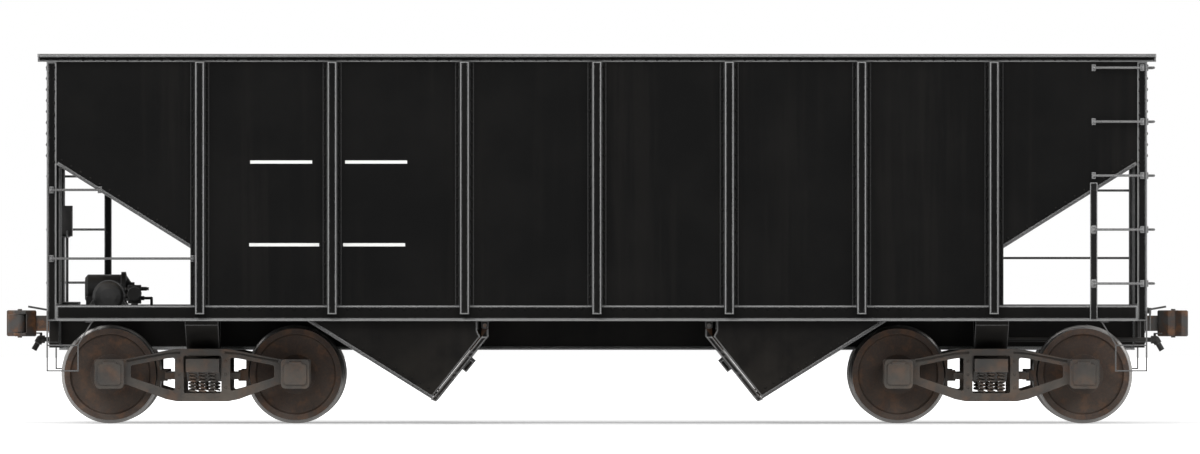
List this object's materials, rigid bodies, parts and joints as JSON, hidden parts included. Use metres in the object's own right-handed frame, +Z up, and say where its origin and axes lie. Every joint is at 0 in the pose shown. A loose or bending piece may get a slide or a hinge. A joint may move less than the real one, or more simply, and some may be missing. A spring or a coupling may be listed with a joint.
{
  "type": "open hopper wagon",
  "caption": "Two-bay open-top rail hopper wagon with outside stakes, sloped ends, drop doors, cast bogies, ladders and knuckle couplers.",
  "frame": {"origin": "on the floor, at the lowest point of the wheel flanges, under the middle of the wagon", "axes": "+X along the track towards end b, +Y across the track, +Z up; rail tops lie 26 mm above the floor"},
  "size_m": [10.7236, 3.11, 3.3348],
  "materials": {
    "body_paint": "satin black paint, worn grey on its edges",
    "underframe_paint": "matt black paint under road dust",
    "fittings_paint": "satin black paint, rubbed grey on rungs and grips",
    "brake_gear_paint": "matt black paint",
    "door_paint": "satin black paint, scuffed",
    "wheel_steel": "rusty forged steel with bright treads",
    "spring_steel": "dark oiled coil steel",
    "bogie_castings": "dusty cast steel",
    "coupler_castings": "rust brown cast steel",
    "pin_steel": "bare round bar"
  },
  "bodies": {
    "wagon": {"air_reservoir": "brake_gear_paint", "body_bolsters": "underframe_paint", "bolster_bulkheads": "body_paint", "brake_cylinder": "brake_gear_paint", "brake_pipes": "brake_gear_paint", "brake_platform": "underframe_paint", "brake_step": "fittings_paint", "brake_wheel": "fittings_paint", "centre_sill": "underframe_paint", "chute_sheets_a": "body_paint", "chute_sheets_b": "body_paint", "control_valve": "brake_gear_paint", "corner_posts": "body_paint", "corner_steps": "fittings_paint", "cross_ties": "body_paint", "draft_gear": "underframe_paint", "end_chords": "body_paint", "end_ladders": "fittings_paint", "end_posts": "body_paint", "end_sheets": "body_paint", "end_sills": "underframe_paint", "hand_brake": "fittings_paint", "hinge_beams": "underframe_paint", "hinge_pins": "pin_steel", "ridge_sheets": "body_paint", "side_chords": "body_paint", "side_handholds": "fittings_paint", "side_ladders": "fittings_paint", "side_sheets": "body_paint", "side_sills": "body_paint", "side_stakes": "body_paint", "sill_hoods": "body_paint", "slope_sheet_a": "body_paint", "slope_sheet_b": "body_paint", "strikers": "underframe_paint", "uncoupling_levers": "fittings_paint"},
    "bogie_a": {"bogie_bolster_a": "bogie_castings", "bogie_brakes_a": "bogie_castings", "bogie_frames_a": "bogie_castings", "bogie_springs_a": "spring_steel"},
    "bogie_b": {"bogie_bolster_b": "bogie_castings", "bogie_brakes_b": "bogie_castings", "bogie_frames_b": "bogie_castings", "bogie_springs_b": "spring_steel"},
    "coupler_a": {"coupler_a": "coupler_castings"},
    "coupler_b": {"coupler_b": "coupler_castings"},
    "doors_a": {"door_beam_a": "door_paint", "door_leaves_a": "door_paint"},
    "doors_b": {"door_beam_b": "door_paint", "door_leaves_b": "door_paint"},
    "knuckle_a": {"knuckle_a": "coupler_castings"},
    "knuckle_b": {"knuckle_b": "coupler_castings"},
    "wheelset_a_inner": {"wheelset_a_inner": "wheel_steel"},
    "wheelset_a_outer": {"wheelset_a_outer": "wheel_steel"},
    "wheelset_b_inner": {"wheelset_b_inner": "wheel_steel"},
    "wheelset_b_outer": {"wheelset_b_outer": "wheel_steel"}
  },
  "joints": [
    {"name": "bogie_a_swivel", "type": "hinge", "parent": "wagon", "child": "bogie_a", "pos_m": [-3.56, 0, 0.622], "axis": [0, 0, 1], "range_deg": [-4, 4]},
    {"name": "wheelset_a_outer_turn", "type": "hinge", "parent": "bogie_a", "child": "wheelset_a_outer", "pos_m": [-4.398, 0, 0.445], "axis": [0, 1, 0], "continuous": true},
    {"name": "wheelset_a_inner_turn", "type": "hinge", "parent": "bogie_a", "child": "wheelset_a_inner", "pos_m": [-2.722, 0, 0.445], "axis": [0, 1, 0], "continuous": true},
    {"name": "doors_a_drop", "type": "hinge", "parent": "wagon", "child": "doors_a", "pos_m": [-1.01, 0, 0.888], "axis": [0, -1, 0], "range_deg": [0, 50]},
    {"name": "coupler_a_swing", "type": "hinge", "parent": "wagon", "child": "coupler_a", "pos_m": [-4.5, 0, 0.902], "axis": [0, 0, 1], "range_deg": [-5, 5]},
    {"name": "knuckle_a_open", "type": "hinge", "parent": "coupler_a", "child": "knuckle_a", "pos_m": [-5.235, -0.118, 0.902], "axis": [0, 0, 1], "range_deg": [0, 45]},
    {"name": "bogie_b_swivel", "type": "hinge", "parent": "wagon", "child": "bogie_b", "pos_m": [3.56, 0, 0.622], "axis": [0, 0, 1], "range_deg": [-4, 4]},
    {"name": "wheelset_b_outer_turn", "type": "hinge", "parent": "bogie_b", "child": "wheelset_b_outer", "pos_m": [4.398, 0, 0.445], "axis": [0, 1, 0], "continuous": true},
    {"name": "wheelset_b_inner_turn", "type": "hinge", "parent": "bogie_b", "child": "wheelset_b_inner", "pos_m": [2.722, 0, 0.445], "axis": [0, 1, 0], "continuous": true},
    {"name": "doors_b_drop", "type": "hinge", "parent": "wagon", "child": "doors_b", "pos_m": [1.01, 0, 0.888], "axis": [0, 1, 0], "range_deg": [0, 50]},
    {"name": "coupler_b_swing", "type": "hinge", "parent": "wagon", "child": "coupler_b", "pos_m": [4.5, 0, 0.902], "axis": [0, 0, 1], "range_deg": [-5, 5]},
    {"name": "knuckle_b_open", "type": "hinge", "parent": "coupler_b", "child": "knuckle_b", "pos_m": [5.235, 0.118, 0.902], "axis": [0, 0, 1], "range_deg": [0, 45]}
  ]
}
